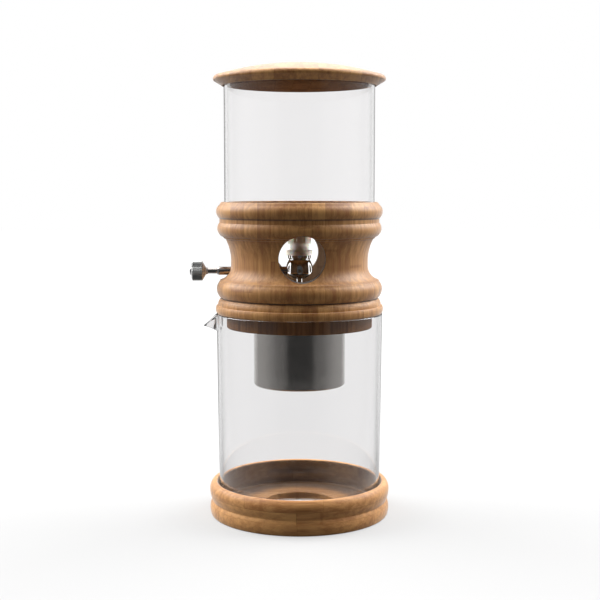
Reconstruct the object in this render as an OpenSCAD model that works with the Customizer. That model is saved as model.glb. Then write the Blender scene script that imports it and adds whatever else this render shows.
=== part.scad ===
// Cold drip coffee tower.
// Water drips from a glass tank, through a needle valve in a turned bamboo neck, into a
// steel cup of coffee, and from there into a glass carafe on a bamboo base.
// Millimetres, Z up, origin at the middle of the base's underside, valve knob towards -X.

/* [Base] */
// Thickness of the base's wall round the carafe
base_wall = 6.5; // [5.5:0.1:12]
// Height of the base
base_h = 28; // [22:0.5:40]
// Thickness of the floor that the carafe stands on
base_floor = 6; // [4:0.5:9]
// Diameter of the hole through that floor
base_hole_d = 60; // [20:1:100]

/* [Carafe] */
// Outer diameter of the carafe at its rim, which the base, ring, neck, tank and lid follow
carafe_d = 137.2; // [120:0.1:155]
// How much narrower the carafe is at its heel
carafe_taper = 3.4; // [0:0.1:12]
// Height of the carafe
carafe_h = 162.5; // [130:0.5:200]
// Thickness of the carafe's wall
carafe_wall = 2.3; // [1.6:0.1:3]
// Thickness of the carafe's bottom
carafe_floor = 3; // [2:0.1:5]
// How far the spout's tip stands out from the wall
spout_reach = 11.3; // [8:0.1:14]
// How far the spout's tip lies below the rim
spout_drop = 10.3; // [7:0.1:12]
// How far the spout's root lies below the rim
spout_root = 14.6; // [13.5:0.1:18]

/* [Filter ring] */
// How far the ring's bead stands out past the carafe's rim
ring_lap = 0.6; // [0:0.1:5]
// Height of the ring above the carafe's rim
ring_h = 13.1; // [11:0.1:20]
// Gap between the ring's plug and the carafe's wall
ring_plug_gap = 6.1; // [3:0.1:15]
// Height of that plug
ring_plug_h = 11.5; // [6:0.1:20]

/* [Filter cup] */
// Outer diameter of the cup
cup_d = 75.8; // [60:0.1:88]
// Depth of the cup below its flange
cup_h = 71.2; // [40:0.1:90]
// Thickness of the cup's sheet
cup_wall = 0.8; // [0.5:0.1:1.2]
// Width of the cup's flange
cup_flange = 5.1; // [4:0.1:6]
// Thickness of the register round the cup's flange, which centres the neck on the ring
register_wall = 4.1; // [3:0.1:6]
// Diameter of the holes in the cup's bottom
mesh_hole_d = 2.4; // [1:0.1:3]
// Depth of the water spreader below its flange
spreader_h = 8; // [4:0.5:15]
// Diameter of the holes in the water spreader
spreader_hole_d = 3; // [1.5:0.1:4]

/* [Neck] */
// How far the crown, the neck's upper ring, stays inside the filter ring's bead
crown_inset = 0.7; // [0:0.1:4]
// Thickness of the neck's wall round the tank
crown_wall = 6.3; // [5.8:0.1:12]
// Thickness of the neck's wall at its waist
waist_wall = 8.45; // [5:0.05:12]
// Height of the bead at the neck's foot
foot_h = 14.4; // [12:0.1:18]
// Height of the cove
cove_h = 34.3; // [32:0.1:44]
// Height of the bead above the cove
collar_h = 13.1; // [11:0.1:16]
// Height of the plain band between the collar and the crown
band_h = 3.2; // [2:0.1:5]
// Height of the crown
crown_h = 13.6; // [12:0.1:18]
// Diameter of the round window through the neck
window_d = 36.9; // [24:0.1:38]
// Thickness of the shelf that carries the tank
shelf_h = 7.6; // [5:0.1:9]

/* [Tank] */
// Height of the tank
tank_h = 110.6; // [70:0.1:160]
// Thickness of the tank's wall
tank_wall = 2.2; // [1.6:0.1:3]
// Thickness of the tank's bottom
tank_floor = 3; // [2:0.1:5]
// How deep the tank sits in the neck
socket_h = 15.6; // [12:0.1:17]

/* [Valve] */
// Diameter of the valve body's bell
bell_d = 22.4; // [20:0.1:26]
// Height of the valve body
valve_h = 19.4; // [18:0.1:24]
// Outer diameter of the threaded outlet bushing
bushing_d = 15.7; // [13:0.1:17]
// Diameter of the bushing's flange
bushing_flange_d = 21.5; // [20:0.1:24]
// Outer diameter of the stem's sleeve
sleeve_d = 6.8; // [6:0.1:8]
// How far the sleeve stands out past the waist
sleeve_out = 11.5; // [5:0.1:20]
// Diameter of the stem
stem_d = 2.8; // [2:0.1:3.2]
// Length of bare stem between sleeve and knob
stem_bare = 7.6; // [4:0.1:15]
// Outer diameter of the knob
knob_d = 16.1; // [12:0.1:24]
// Width of the knob's grip
knob_w = 8.4; // [5:0.1:14]
// Number of flutes round the knob's grip
knob_flutes = 40; // [24:1:50]

/* [Lid] */
// Width of the lid's rim outside the tank
lid_wall = 8.2; // [6.5:0.1:14]
// Height of the lid above its widest line
lid_dome = 12.8; // [9:0.1:18]
// Depth of the lid's underside below its widest line
lid_skirt = 5.4; // [4.5:0.1:7]
// Gap between the lid's plug and the tank's wall
lid_plug_gap = 3; // [1:0.1:10]
// Thickness of the lid's plug
lid_plug_h = 2.4; // [2:0.1:8]

/* [Clearances] */
// Gap all round the carafe in the base
carafe_play = 1.6; // [0.5:0.1:2.5]
// Gap all round the cup in the filter ring
cup_play = 0.5; // [0.3:0.1:1]
// Gap all round the tank in the neck and in the lid
tank_play = 0.5; // [0.3:0.1:1]
// Gap all round the ring's register in the neck
register_play = 0.4; // [0.3:0.1:1]
// Gap all round parts that screw or push together
thread_play = 0.1; // [0.05:0.01:0.2]
// Gap all round the stem where it turns
stem_play = 0.05; // [0.02:0.01:0.1]
// Gap between the closed needle and its seat
needle_play = 0.1; // [0.05:0.01:0.2]

/* [Hidden] */

$fn = 96;
arc_steps = 8;        // straight steps in each turned curve
dome_steps = 20;      // straight steps in the lid's dome
eps = 0.01;           // overlap that keeps a cut clean
arris = 0.8;          // broken edge on turned wood
quirk = 0.6;          // small cut that sets off a bead from its neighbour
gasket_h = 1;         // thickness of the silicone rings
lid_gasket_h = 0.8;   // thickness of the ring in the lid
rim_flat = 1;         // width of the flat on top of a glass rim
push_play = 0.02;     // gap round parts that are pushed on to stay

// Heights, from the table upwards
flange_sink = 0.4;    // how far the spreader's flange lies below the ring's top
window_rise = 20.2;   // from the cove's foot up to the window's middle
stem_drop = 12.7;     // from the window's middle down to the stem
valve_rise = 12.9;    // from the stem up to the valve body's top
carafe_z = base_floor;
rim_z = carafe_z + carafe_h;
ring_top = rim_z + ring_h;
seat_z = ring_top - flange_sink - 2 * cup_wall - gasket_h;
flange_z = seat_z + gasket_h;
cup_z = flange_z - cup_h;
spreader_z = flange_z + cup_wall;
neck_z = ring_top;
cove_z = neck_z + foot_h;
collar_z = cove_z + cove_h;
band_z = collar_z + collar_h;
crown_z = band_z + band_h;
neck_top = crown_z + crown_h;
tank_z = neck_top - socket_h;
shelf_z = tank_z - gasket_h;
tank_rim = tank_z + tank_h;
lid_ceiling = tank_rim + lid_gasket_h;
window_z = cove_z + window_rise;
stem_z = window_z - stem_drop;
bushing_z = stem_z + valve_rise;
valve_z = bushing_z - valve_h;

// Base, round the carafe's heel
carafe_top_r = carafe_d / 2;
carafe_low_r = carafe_top_r - carafe_taper / 2;
recess_r = carafe_low_r + carafe_play;
base_r = recess_r + base_wall;
base_hole_r = base_hole_d / 2;
base_lower_r = base_r - 0.2;   // widest line of the lower bead
base_groove_r = base_r - 1.9;  // bottom of the groove between the beads
base_rim_r = base_r - 3.6;     // outer edge of the flat rim

// Carafe
heel_r = 6;           // radius of the carafe's heel
punt_h = 1.6;         // rise in the middle of its bottom
foot_w = 4;           // width of the flat ring that the carafe stands on
punt_r = carafe_low_r - heel_r - foot_w;
spout_wall = carafe_wall * 0.8; // the spout's glass is drawn out thinner
spout_slope = atan((spout_root - spout_drop) / spout_reach);
spout_half = 38;      // half angle of the spout's cone
spout_lean = 90 - spout_slope - spout_half;
spout_inset = 8;      // from the root inwards to the cone's point
spout_len = 2 * (spout_reach + spout_inset); // length of cone before it is cut to the lip
lip_tilt = atan(spout_drop / spout_reach);

// Filter ring and cup
ring_r = carafe_top_r + ring_lap;
ring_plug_r = carafe_top_r - carafe_wall - ring_plug_gap;
cup_r = cup_d / 2;
cup_bore_r = cup_r + cup_play;
flange_r = cup_r + cup_flange;
seat_r = flange_r + cup_play;
register_r = seat_r + register_wall;
register_h = 3.4;     // height of the ring's register inside the neck
cup_edge_r = 2.2;     // radius of the cup's lower edge
bottom_r = cup_r - 4.9; // opening in the cup's bottom, under the mesh
mesh_r = cup_r - cup_edge_r - 0.2; // the mesh lies on the flat inside that edge
mesh_h = 0.5;
mesh_pitch = 6;
spreader_r = cup_r - cup_wall - cup_play;
spreader_pitch = 9;
hole_edge = 0.5;      // least metal between a hole and the edge of its field

// Neck
crown_r = ring_r - crown_inset;
socket_r = crown_r - crown_wall;
foot_r = crown_r - 0.2;   // widest line of the foot's bead
collar_r = crown_r - 0.9; // widest line of the collar's bead
band_r = crown_r - 2.7;
chamber_r = register_r + register_play;
waist_r = chamber_r + waist_wall;
window_r = window_d / 2;
cove_foot_h = 12;         // height of the curve from the ledge up to the waist
waist_h = 4;              // straight part of the waist

// Tank
tank_r = socket_r - tank_play;
tank_hole_r = bushing_d / 2 + tank_play;
tank_heel_r = 4;      // outer radius of the tank's heel
tank_inner_heel_r = 3;
seat_ring_r = tank_r - tank_heel_r;
seat_ring_w = 10;     // width of the ring that the tank stands on
shelf_r = seat_ring_r + 1; // the shelf lies in a rebate in the neck's top

// Fitting through the tank's bottom, on the tower's axis
bushing_r = bushing_d / 2;
bushing_bore_r = 4.5;
bushing_flange_h = 3.7;
bushing_end = 1.4;    // length of thread that shows above the inlet nut
bulkhead_wall = 1.65; // wall of the nut under the shelf
bulkhead_r = bushing_r + bulkhead_wall;
bulkhead_z = bushing_z + 9.5;
bulkhead_h = shelf_z - shelf_h - bulkhead_z;
washer_r = 13;
nut_af = 22;          // width across the flats of the inlet nut
nut_h = 6;
nut_z = tank_z + tank_floor + gasket_h;

// Valve body, on the tower's axis
bell_r = bell_d / 2;
spigot_r = bushing_bore_r - thread_play;
spigot_h = 8;
inlet_r = 2.5;
outlet_r = 1.2;
feed_h = 6;           // height over which the slanted feed runs down to the needle
nozzle_r = 2.6;
nozzle_h = 5;
nozzle_tip_h = 2;     // height of the nozzle's tapered tip
nozzle_spigot_r = nozzle_r - 0.5;
nozzle_spigot_h = 3;
port_r = 2.2;
port_ring_r = 3;
port_inset = 0.9;     // from the bell's front to the port's plug
port_recess = 1.4;    // from the bell's front to the bottom of the ring round the plug
port_socket = 2.3;    // from the bell's front to the bottom of the plug's hex socket

// Valve on the stem's axis, distances from the tower's axis towards -X
gallery_r = 2.2;
seat_x = 3.6;
seat_w = 2;
orifice_r = 0.9;
needle_tip_r = 0.5;
needle_r = stem_d / 2 - 0.2;
needle_len = 10;
taper_len = 3;
taper_rise = (needle_r - needle_tip_r) / taper_len;
sleeve_r = sleeve_d / 2;
sleeve_x = bell_r - 2.7;
sleeve_end = waist_r + sleeve_out;
guide_len = 20;       // threaded length that guides the stem
guide_clear = 0.35;   // gap round the stem past that length
packing_r = sleeve_r - 0.9;
packing_len = 6;
stem_r = stem_d / 2;
stem_start = seat_x + needle_play + needle_len;
shoulder_w = 4.4;
shoulder_x = sleeve_end + stem_bare;
knob_x = shoulder_x + shoulder_w;
knob_end = knob_x + knob_w;
knob_r = knob_d / 2;
knob_lip = 0.7;       // how far the shoulder and cap stay inside the grip
knob_web = 1;         // metal left at the end of the knob's bore
flute_r = 0.42;
cap_w = 2;

// Lid
lid_inner_r = tank_r + tank_play;
lid_r = lid_inner_r + lid_wall;
lid_plug_r = tank_r - tank_wall - lid_plug_gap;
lid_groove = 1.8;     // how far the skirt reaches below the gasket's seat
lid_edge = lid_ceiling - lid_groove + lid_skirt;
lid_top = lid_edge + lid_dome;

// Colours, as they look in plain light
bamboo = [0.72, 0.54, 0.36];
bamboo_dark = [0.45, 0.32, 0.21];
clear_glass = [0.9, 0.92, 0.92, 0.35];
steel = [0.66, 0.64, 0.6];
bright_metal = [0.85, 0.85, 0.86];
knob_metal = [0.58, 0.59, 0.58];
milky = [0.86, 0.83, 0.76];
silicone = [0.93, 0.92, 0.9];
seal_white = [0.95, 0.95, 0.93];

// Outline points of an arc that runs upright at [r0, z0] and ends at [r1, z1]
function swell(r0, z0, r1, z1) =
    let (
        d = abs(r1 - r0),
        h = abs(z1 - z0),
        radius = (d * d + h * h) / (2 * d),
        turn = atan2(h, radius - d)
    )
    [for (i = [0 : arc_steps])
        let (a = turn * i / arc_steps)
        [r0 + sign(r1 - r0) * radius * (1 - cos(a)), z0 + sign(z1 - z0) * radius * sin(a)]];

// The same points in the other order, and without their first point
function back(points) = [for (i = [len(points) - 1 : -1 : 0]) points[i]];
function rest_of(points) = [for (i = [1 : len(points) - 1]) points[i]];

// Outline of a bead, upwards: lower edge, widest line, upper edge, each as [r, z]
function bead(low, wide, high) =
    concat(
        back(swell(wide[0], wide[1], low[0], low[1])),
        rest_of(swell(wide[0], wide[1], high[0], high[1]))
    );

// Quarter circle round [r, z] from angle a0 to a1
function corner(r, z, radius, a0, a1) =
    [for (i = [0 : arc_steps])
        let (a = a0 + (a1 - a0) * i / arc_steps)
        [r + radius * cos(a), z + radius * sin(a)]];

module turned(outline) {
    rotate_extrude() polygon(outline);
}

// A ring with square edges
module ring(r_out, r_in, z, h) {
    difference() {
        translate([0, 0, z]) cylinder(h = h, r = r_out);
        translate([0, 0, z - eps]) cylinder(h = h + 2 * eps, r = r_in);
    }
}

// A round bar along -X at the stem's height, from distance x0 to x1 off the tower's axis
module bar(x0, x1, r0, r1) {
    translate([-x0, 0, stem_z]) rotate([0, -90, 0]) cylinder(h = x1 - x0, r1 = r0, r2 = r1);
}

// A hole along Y at the stem's height, of the given depth from the bell's front
module port_well(depth, r, sides = $fn) {
    translate([0, depth - bell_r, stem_z]) rotate([90, 0, 0])
        cylinder(h = bell_r, r = r, $fn = sides);
}

// Flat pattern of round holes in rings inside a field of the given radius
module holes(field_r, hole_r, pitch) {
    rings = floor((field_r - hole_r - hole_edge) / pitch);
    circle(r = hole_r);
    for (k = [1 : rings]) {
        for (i = [0 : 6 * k - 1]) {
            rotate([0, 0, 60 * i / k]) translate([pitch * k, 0]) circle(r = hole_r);
        }
    }
}

module base() {
    lower_z = base_h * 0.2;
    groove_z = base_h * 0.45;
    upper_z = base_h * 0.76;
    lip_r = base_groove_r + 0.2;     // where the beads end at the groove
    edge_r = base_lower_r - 0.7;     // where the lower bead ends at the foot
    shoulder_r = base_r - 2.4;       // where the upper bead ends at the rim
    round_r = 1.6;                   // rounding of the recess's edge
    color(bamboo) turned(concat(
        [[base_hole_r, 0], [edge_r - arris, 0]],
        bead([edge_r, arris], [base_lower_r, lower_z], [lip_r, groove_z - quirk]),
        [[base_groove_r, groove_z]],
        bead([lip_r, groove_z + quirk], [base_r, upper_z], [shoulder_r, base_h - quirk]),
        [[base_rim_r, base_h], [recess_r + round_r, base_h]],
        corner(recess_r + round_r, base_h - round_r, round_r, 90, 180),
        [[recess_r, base_floor], [base_hole_r + arris, base_floor],
            [base_hole_r, base_floor - arris]]
    ));
}

// Solid body of the carafe, and the hollow inside it
module carafe_body() {
    turned(concat(
        [[0, carafe_z + punt_h], [punt_r, carafe_z], [carafe_low_r - heel_r, carafe_z]],
        corner(carafe_low_r - heel_r, carafe_z + heel_r, heel_r, -90, 0),
        [[carafe_top_r, rim_z - rim_flat / 2], [carafe_top_r - rim_flat / 2, rim_z], [0, rim_z]]
    ));
}

module carafe_hollow() {
    inner_low_r = carafe_low_r - carafe_wall;
    inner_top_r = carafe_top_r - carafe_wall;
    inner_heel_r = heel_r - carafe_wall;
    floor_z = carafe_z + carafe_floor;
    turned(concat(
        [[0, floor_z + punt_h], [punt_r, floor_z], [inner_low_r - inner_heel_r, floor_z]],
        corner(inner_low_r - inner_heel_r, floor_z + inner_heel_r, inner_heel_r, -90, 0),
        [[inner_top_r, rim_z - rim_flat / 2], [inner_top_r + rim_flat / 2, rim_z + eps],
            [0, rim_z + eps]]
    ));
}

// Cone whose lowest line runs from the spout's root to its tip, moved inwards by one wall
module spout_cone(wall) {
    translate([spout_inset * cos(spout_slope) - carafe_top_r, 0,
            rim_z - spout_root - spout_inset * sin(spout_slope)])
        rotate([0, -spout_lean, 0])
            translate([0, 0, wall / sin(spout_half)])
                cylinder(h = spout_len, r1 = 0, r2 = spout_len * tan(spout_half));
}

module carafe() {
    color(clear_glass) difference() {
        union() {
            carafe_body();
            intersection() {
                spout_cone(0);
                translate([-carafe_top_r, 0, rim_z]) rotate([0, -lip_tilt, 0])
                    translate([-spout_len, -spout_len, -spout_len])
                        cube([spout_len, 2 * spout_len, spout_len]);
            }
        }
        carafe_hollow();
        spout_cone(spout_wall);
    }
}

module filter_ring() {
    wide_z = rim_z + ring_h * 0.3;   // widest line of the bead
    step_z = rim_z + ring_h * 0.5;   // top of the bead
    bead_r = ring_r - 0.6;           // where the bead ends
    step_r = ring_r - 1.8;           // foot of the step above the bead
    shoulder_r = ring_r - 3.8;       // where that step ends at the top
    lead = 1;                        // chamfer that leads the cup's flange in
    color(bamboo) turned(concat(
        [[cup_bore_r, rim_z], [bead_r - arris, rim_z]],
        bead([bead_r, rim_z + arris], [ring_r, wide_z], [bead_r, step_z]),
        [[step_r, step_z + quirk / 2]],
        swell(step_r, step_z + arris, shoulder_r, ring_top - arris),
        [[shoulder_r - arris, ring_top], [register_r, ring_top],
            [register_r, ring_top + register_h], [seat_r + lead, ring_top + register_h],
            [seat_r, ring_top + register_h - lead], [seat_r, seat_z], [cup_bore_r, seat_z]]
    ));
}

module ring_plug() {
    plug_z = rim_z - ring_plug_h;
    color(bamboo_dark) turned([
        [cup_bore_r, plug_z], [ring_plug_r - arris, plug_z], [ring_plug_r, plug_z + arris],
        [ring_plug_r, rim_z], [cup_bore_r, rim_z]
    ]);
}

module cup_gasket() {
    color(silicone) ring(flange_r, cup_bore_r, seat_z, gasket_h);
}

module filter_cup() {
    inner_r = cup_r - cup_wall;
    edge_z = cup_z + cup_edge_r;
    color(steel) turned(concat(
        [[bottom_r, cup_z]],
        corner(cup_r - cup_edge_r, edge_z, cup_edge_r, -90, 0),
        [[cup_r, flange_z], [flange_r, flange_z], [flange_r, flange_z + cup_wall],
            [inner_r, flange_z + cup_wall]],
        back(corner(cup_r - cup_edge_r, edge_z, cup_edge_r - cup_wall, -90, 0)),
        [[bottom_r, cup_z + cup_wall]]
    ));
}

module cup_mesh() {
    color(steel) translate([0, 0, cup_z + cup_wall]) linear_extrude(height = mesh_h)
        difference() {
            circle(r = mesh_r);
            holes(bottom_r, mesh_hole_d / 2, mesh_pitch);
        }
}

module spreader() {
    tray_z = spreader_z - spreader_h;
    inner_r = spreader_r - cup_wall;
    color(steel) difference() {
        union() {
            translate([0, 0, spreader_z]) cylinder(h = cup_wall, r = flange_r - cup_play);
            translate([0, 0, tray_z]) cylinder(h = spreader_h + eps, r = spreader_r);
        }
        translate([0, 0, tray_z + cup_wall]) cylinder(h = spreader_h + eps, r = inner_r);
        translate([0, 0, tray_z - eps]) linear_extrude(height = 2 * cup_wall)
            holes(inner_r, spreader_hole_d / 2, spreader_pitch);
    }
}

module neck() {
    foot_wide_z = neck_z + foot_h * 0.52;
    foot_edge_r = foot_r - 2.4;      // where the foot's bead starts
    foot_top_r = foot_r - 1.9;       // where it ends, above
    ledge_z = cove_z - 1.6;
    ledge_r = foot_r - 2.7;          // edge of the ledge at the cove's foot
    waist_low_z = cove_z + cove_foot_h;
    waist_high_z = waist_low_z + waist_h;
    collar_low_r = collar_r - 3.2;   // where the collar's bead starts
    collar_low_z = collar_z + 2;
    fillet_r = collar_low_r - 1.95;  // small square step under the collar
    fillet_low_z = collar_z + 0.4;
    fillet_high_z = collar_z + 1.4;
    cove_end_r = fillet_r - 1.5;
    cove_end_z = collar_z - quirk / 2;
    collar_wide_z = collar_z + collar_h * 0.62;
    collar_end_r = band_r + 0.3;
    color(bamboo) difference() {
        turned(concat(
            [[chamber_r, neck_z], [foot_edge_r - 1.2, neck_z]],
            bead([foot_edge_r, neck_z + arris], [foot_r, foot_wide_z], [foot_top_r, ledge_z]),
            back(swell(waist_r, waist_low_z, ledge_r, cove_z)),
            swell(waist_r, waist_high_z, cove_end_r, cove_end_z),
            [[fillet_r, fillet_low_z], [fillet_r + 0.2, fillet_high_z]],
            bead([collar_low_r, collar_low_z], [collar_r, collar_wide_z],
                [collar_end_r, band_z - 0.4]),
            [[band_r, band_z], [shelf_r + push_play, band_z],
                [shelf_r + push_play, shelf_z - shelf_h], [chamber_r, shelf_z - shelf_h]]
        ));
        translate([0, crown_r, window_z]) rotate([90, 0, 0])
            cylinder(h = 2 * crown_r, r = window_r);
        bar(0, crown_r, sleeve_r + tank_play, sleeve_r + tank_play);
    }
}

module tank_shelf() {
    color(bamboo_dark) ring(shelf_r, tank_hole_r, shelf_z - shelf_h, shelf_h);
}

// The neck's upper ring, glued on where the plain band starts
module crown() {
    wide_z = crown_z + crown_h * 0.45;
    low_r = crown_r - 2.1;
    end_r = crown_r - 2.4;
    end_z = neck_top - 2.6;
    rounding = [[3.5, 1], [4.4, 0.2], [5.2, 0]]; // rounding, in and down from the crown
    color(bamboo) turned(concat(
        [[socket_r, band_z], [band_r, band_z], [band_r, crown_z]],
        bead([low_r, crown_z + 0.7], [crown_r, wide_z], [end_r, end_z]),
        [for (p = rounding) [crown_r - p[0], neck_top - p[1]]],
        [[socket_r + arris / 2, neck_top], [socket_r, neck_top - arris / 2]]
    ));
}

module tank() {
    inner_r = tank_r - tank_wall;
    floor_z = tank_z + tank_floor;
    inner_heel_r = tank_inner_heel_r;
    color(clear_glass) turned(concat(
        [[tank_hole_r, tank_z]],
        corner(tank_r - tank_heel_r, tank_z + tank_heel_r, tank_heel_r, -90, 0),
        [[tank_r, tank_rim - rim_flat / 2], [tank_r - rim_flat / 2, tank_rim],
            [inner_r + rim_flat / 2, tank_rim], [inner_r, tank_rim - rim_flat / 2]],
        back(corner(inner_r - inner_heel_r, floor_z + inner_heel_r, inner_heel_r, -90, 0)),
        [[tank_hole_r, floor_z]]
    ));
}

module tank_seat_ring() {
    color(silicone) ring(seat_ring_r, seat_ring_r - seat_ring_w, shelf_z, gasket_h);
}

module inlet_washer() {
    color(silicone) ring(washer_r, bushing_r + thread_play, tank_z + tank_floor, gasket_h);
}

module inlet_nut() {
    color(milky) difference() {
        intersection() {
            translate([0, 0, nut_z]) cylinder(h = nut_h, r = nut_af / sqrt(3), $fn = 6);
            translate([0, 0, nut_z]) cylinder(h = nut_h, r1 = nut_af * 0.6, r2 = nut_af * 0.53);
        }
        translate([0, 0, nut_z - eps])
            cylinder(h = nut_h + 2 * eps, r = bushing_r + thread_play);
    }
}

module outlet_bushing() {
    length = nut_z + nut_h + bushing_end - bushing_z;
    thread_pitch = 2.2;
    thread_w = 0.6;
    thread_depth = 0.4;
    color(milky) difference() {
        union() {
            translate([0, 0, bushing_z]) cylinder(h = bushing_flange_h, r = bushing_flange_d / 2);
            translate([0, 0, bushing_z]) cylinder(h = length, r = bushing_r);
        }
        translate([0, 0, bushing_z - eps]) cylinder(h = length + 2 * eps, r = bushing_bore_r);
        for (z = [bushing_z + bushing_flange_h + 1 : thread_pitch : bulkhead_z - 1]) {
            ring(bushing_r + 1, bushing_r - thread_depth, z, thread_w);
        }
    }
}

module bulkhead_nut() {
    grips = 8;
    grip_r = 1.2;
    grip_z = bulkhead_z + 1.5;
    color(milky) difference() {
        ring(bulkhead_r, bushing_r + thread_play, bulkhead_z, bulkhead_h);
        for (i = [0 : grips - 1]) {
            rotate([0, 0, 360 * (i + 0.5) / grips])
                translate([bulkhead_r + 0.5, 0, grip_z]) cylinder(h = bulkhead_h, r = grip_r);
        }
    }
}

module valve_body() {
    feed_x = seat_x + seat_w + 1;    // where the slanted feed meets the gallery
    end_r = nozzle_r + 2.4;          // flat end round the nozzle
    throat_r = bell_r - 2.7;         // groove between the bell and its top
    throat_z = bushing_z - 3.3;
    color(bright_metal) difference() {
        union() {
            turned(concat(
                [[0, valve_z], [end_r, valve_z], [end_r + 0.6, valve_z + 0.6],
                    [bell_r - 2, valve_z + 2.6]],
                bead([bell_r - 0.8, valve_z + 3.4], [bell_r, valve_z + 7],
                    [throat_r + 0.1, throat_z - 0.6]),
                [[throat_r, throat_z], [throat_r + 0.9, throat_z + 0.8],
                    [throat_r + 1.1, bushing_z], [0, bushing_z]]
            ));
            translate([0, 0, bushing_z]) cylinder(h = spigot_h, r = spigot_r);
        }
        translate([0, 0, stem_z + feed_h]) cylinder(h = valve_h + spigot_h, r = inlet_r);
        translate([0, 0, stem_z + feed_h]) rotate([0, 180 + atan2(feed_x, feed_h), 0])
            cylinder(h = norm([feed_x, feed_h]), r = outlet_r);
        bar(seat_x, bell_r + 1, gallery_r, gallery_r);
        bar(sleeve_x, bell_r + 1, sleeve_r + thread_play, sleeve_r + thread_play);
        bar(-outlet_r, seat_x + eps, orifice_r, orifice_r);
        translate([0, 0, valve_z - eps]) cylinder(h = stem_z - valve_z, r = outlet_r);
        translate([0, 0, valve_z - eps])
            cylinder(h = nozzle_spigot_h + 2 * eps, r = nozzle_spigot_r + thread_play);
        port_well(bell_r / 2, port_r + thread_play);
        port_well(port_recess, port_ring_r);
    }
}

module valve_seat() {
    color(seal_white) difference() {
        bar(seat_x, seat_x + seat_w, gallery_r - push_play, gallery_r - push_play);
        bar(seat_x - eps, seat_x + seat_w + eps, needle_tip_r + needle_play,
            needle_tip_r + needle_play + (seat_w + 2 * eps) * taper_rise);
    }
}

module port_plug() {
    color(bright_metal) difference() {
        translate([0, -bell_r / 2, stem_z]) rotate([90, 0, 0])
            cylinder(h = bell_r / 2 - port_inset, r = port_r);
        port_well(port_socket, port_r * 0.55, 6);
    }
}

module drip_nozzle() {
    nozzle_z = valve_z - nozzle_h;
    color(bright_metal) difference() {
        union() {
            translate([0, 0, valve_z]) cylinder(h = nozzle_spigot_h, r = nozzle_spigot_r);
            translate([0, 0, nozzle_z + nozzle_tip_h])
                cylinder(h = nozzle_h - nozzle_tip_h, r = nozzle_r);
            translate([0, 0, nozzle_z])
                cylinder(h = nozzle_tip_h, r1 = nozzle_r - 0.9, r2 = nozzle_r);
        }
        translate([0, 0, nozzle_z - eps])
            cylinder(h = nozzle_h + nozzle_spigot_h + 2 * eps, r = outlet_r);
    }
}

module stem_sleeve() {
    end_w = 1.5;                     // length of the sleeve's tapered end
    packing_x = sleeve_end - packing_len;
    color(bright_metal) difference() {
        union() {
            bar(sleeve_x, sleeve_end - end_w, sleeve_r, sleeve_r);
            bar(sleeve_end - end_w, sleeve_end, sleeve_r, sleeve_r - 0.5);
        }
        bar(sleeve_x - eps, sleeve_end + eps, stem_r + stem_play, stem_r + stem_play);
        bar(sleeve_x + guide_len, sleeve_end + eps, stem_r + guide_clear, stem_r + guide_clear);
        bar(packing_x, sleeve_end + eps, packing_r, packing_r);
    }
}

module stem_packing() {
    packing_x = sleeve_end - packing_len;
    fit_r = packing_r - push_play;
    color(seal_white) difference() {
        bar(packing_x, sleeve_end - 0.4, fit_r, fit_r);
        bar(packing_x - eps, sleeve_end, stem_r + stem_play, stem_r + stem_play);
    }
}

module needle() {
    tip_x = seat_x + needle_play;
    color(bright_metal) {
        union() {
            bar(tip_x, tip_x + taper_len, needle_tip_r, needle_r);
            bar(tip_x + taper_len, stem_start, needle_r, needle_r);
        }
    }
}

module stem() {
    color(bright_metal) bar(stem_start, knob_end - knob_web, stem_r, stem_r);
}

module knob_shoulder() {
    color(bright_metal) difference() {
        bar(shoulder_x, knob_x, stem_r + 0.6, knob_r - knob_lip);
        bar(shoulder_x - eps, knob_x + eps, stem_r + push_play, stem_r + push_play);
    }
}

module knob() {
    color(knob_metal) difference() {
        bar(knob_x, knob_end, knob_r, knob_r);
        bar(knob_x - eps, knob_end - knob_web, stem_r + push_play, stem_r + push_play);
        for (i = [0 : knob_flutes - 1]) {
            translate([0, 0, stem_z]) rotate([360 * i / knob_flutes, 0, 0])
                translate([0, 0, knob_r - stem_z])
                    bar(knob_x - eps, knob_end + eps, flute_r, flute_r);
        }
    }
}

module knob_cap() {
    color(bright_metal) bar(knob_end, knob_end + cap_w, knob_r - knob_lip, knob_r * 0.45);
}

module lid() {
    skirt_z = lid_edge - lid_skirt;
    skirt_r = lid_r - 4.8;           // outer edge of the skirt's underside
    bevel_r = lid_r - 2;             // where the bevel under the rim ends
    dome_r = lid_r - 3.8;            // where the dome starts
    dome_z = lid_edge + 4.3;
    dome_h = lid_top - dome_z;
    dome_radius = (dome_r * dome_r + dome_h * dome_h) / (2 * dome_h);
    color(bamboo) turned(concat(
        [[0, lid_ceiling], [lid_inner_r, lid_ceiling], [lid_inner_r, lid_ceiling - lid_groove],
            [lid_inner_r + 1, skirt_z], [skirt_r, skirt_z + 0.9]],
        bead([bevel_r, lid_edge - 3], [lid_r, lid_edge], [dome_r, dome_z]),
        [for (i = [1 : dome_steps])
            let (r = dome_r * (1 - i / dome_steps))
            [r, lid_top - dome_radius + sqrt(dome_radius * dome_radius - r * r)]]
    ));
}

module lid_plug() {
    color(bamboo_dark) translate([0, 0, lid_ceiling - lid_plug_h])
        cylinder(h = lid_plug_h, r = lid_plug_r);
}

module lid_gasket() {
    color(silicone) ring(tank_r, lid_plug_r + 0.3, tank_rim, lid_gasket_h);
}

base();
carafe();
filter_ring();
ring_plug();
cup_gasket();
filter_cup();
cup_mesh();
spreader();
neck();
tank_shelf();
crown();
tank();
tank_seat_ring();
inlet_washer();
inlet_nut();
outlet_bushing();
bulkhead_nut();
valve_body();
valve_seat();
port_plug();
drip_nozzle();
stem_sleeve();
stem_packing();
needle();
stem();
knob_shoulder();
knob();
knob_cap();
lid();
lid_plug();
lid_gasket();
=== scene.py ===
from math import atan2, cos, hypot, pi, radians, sin

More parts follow.
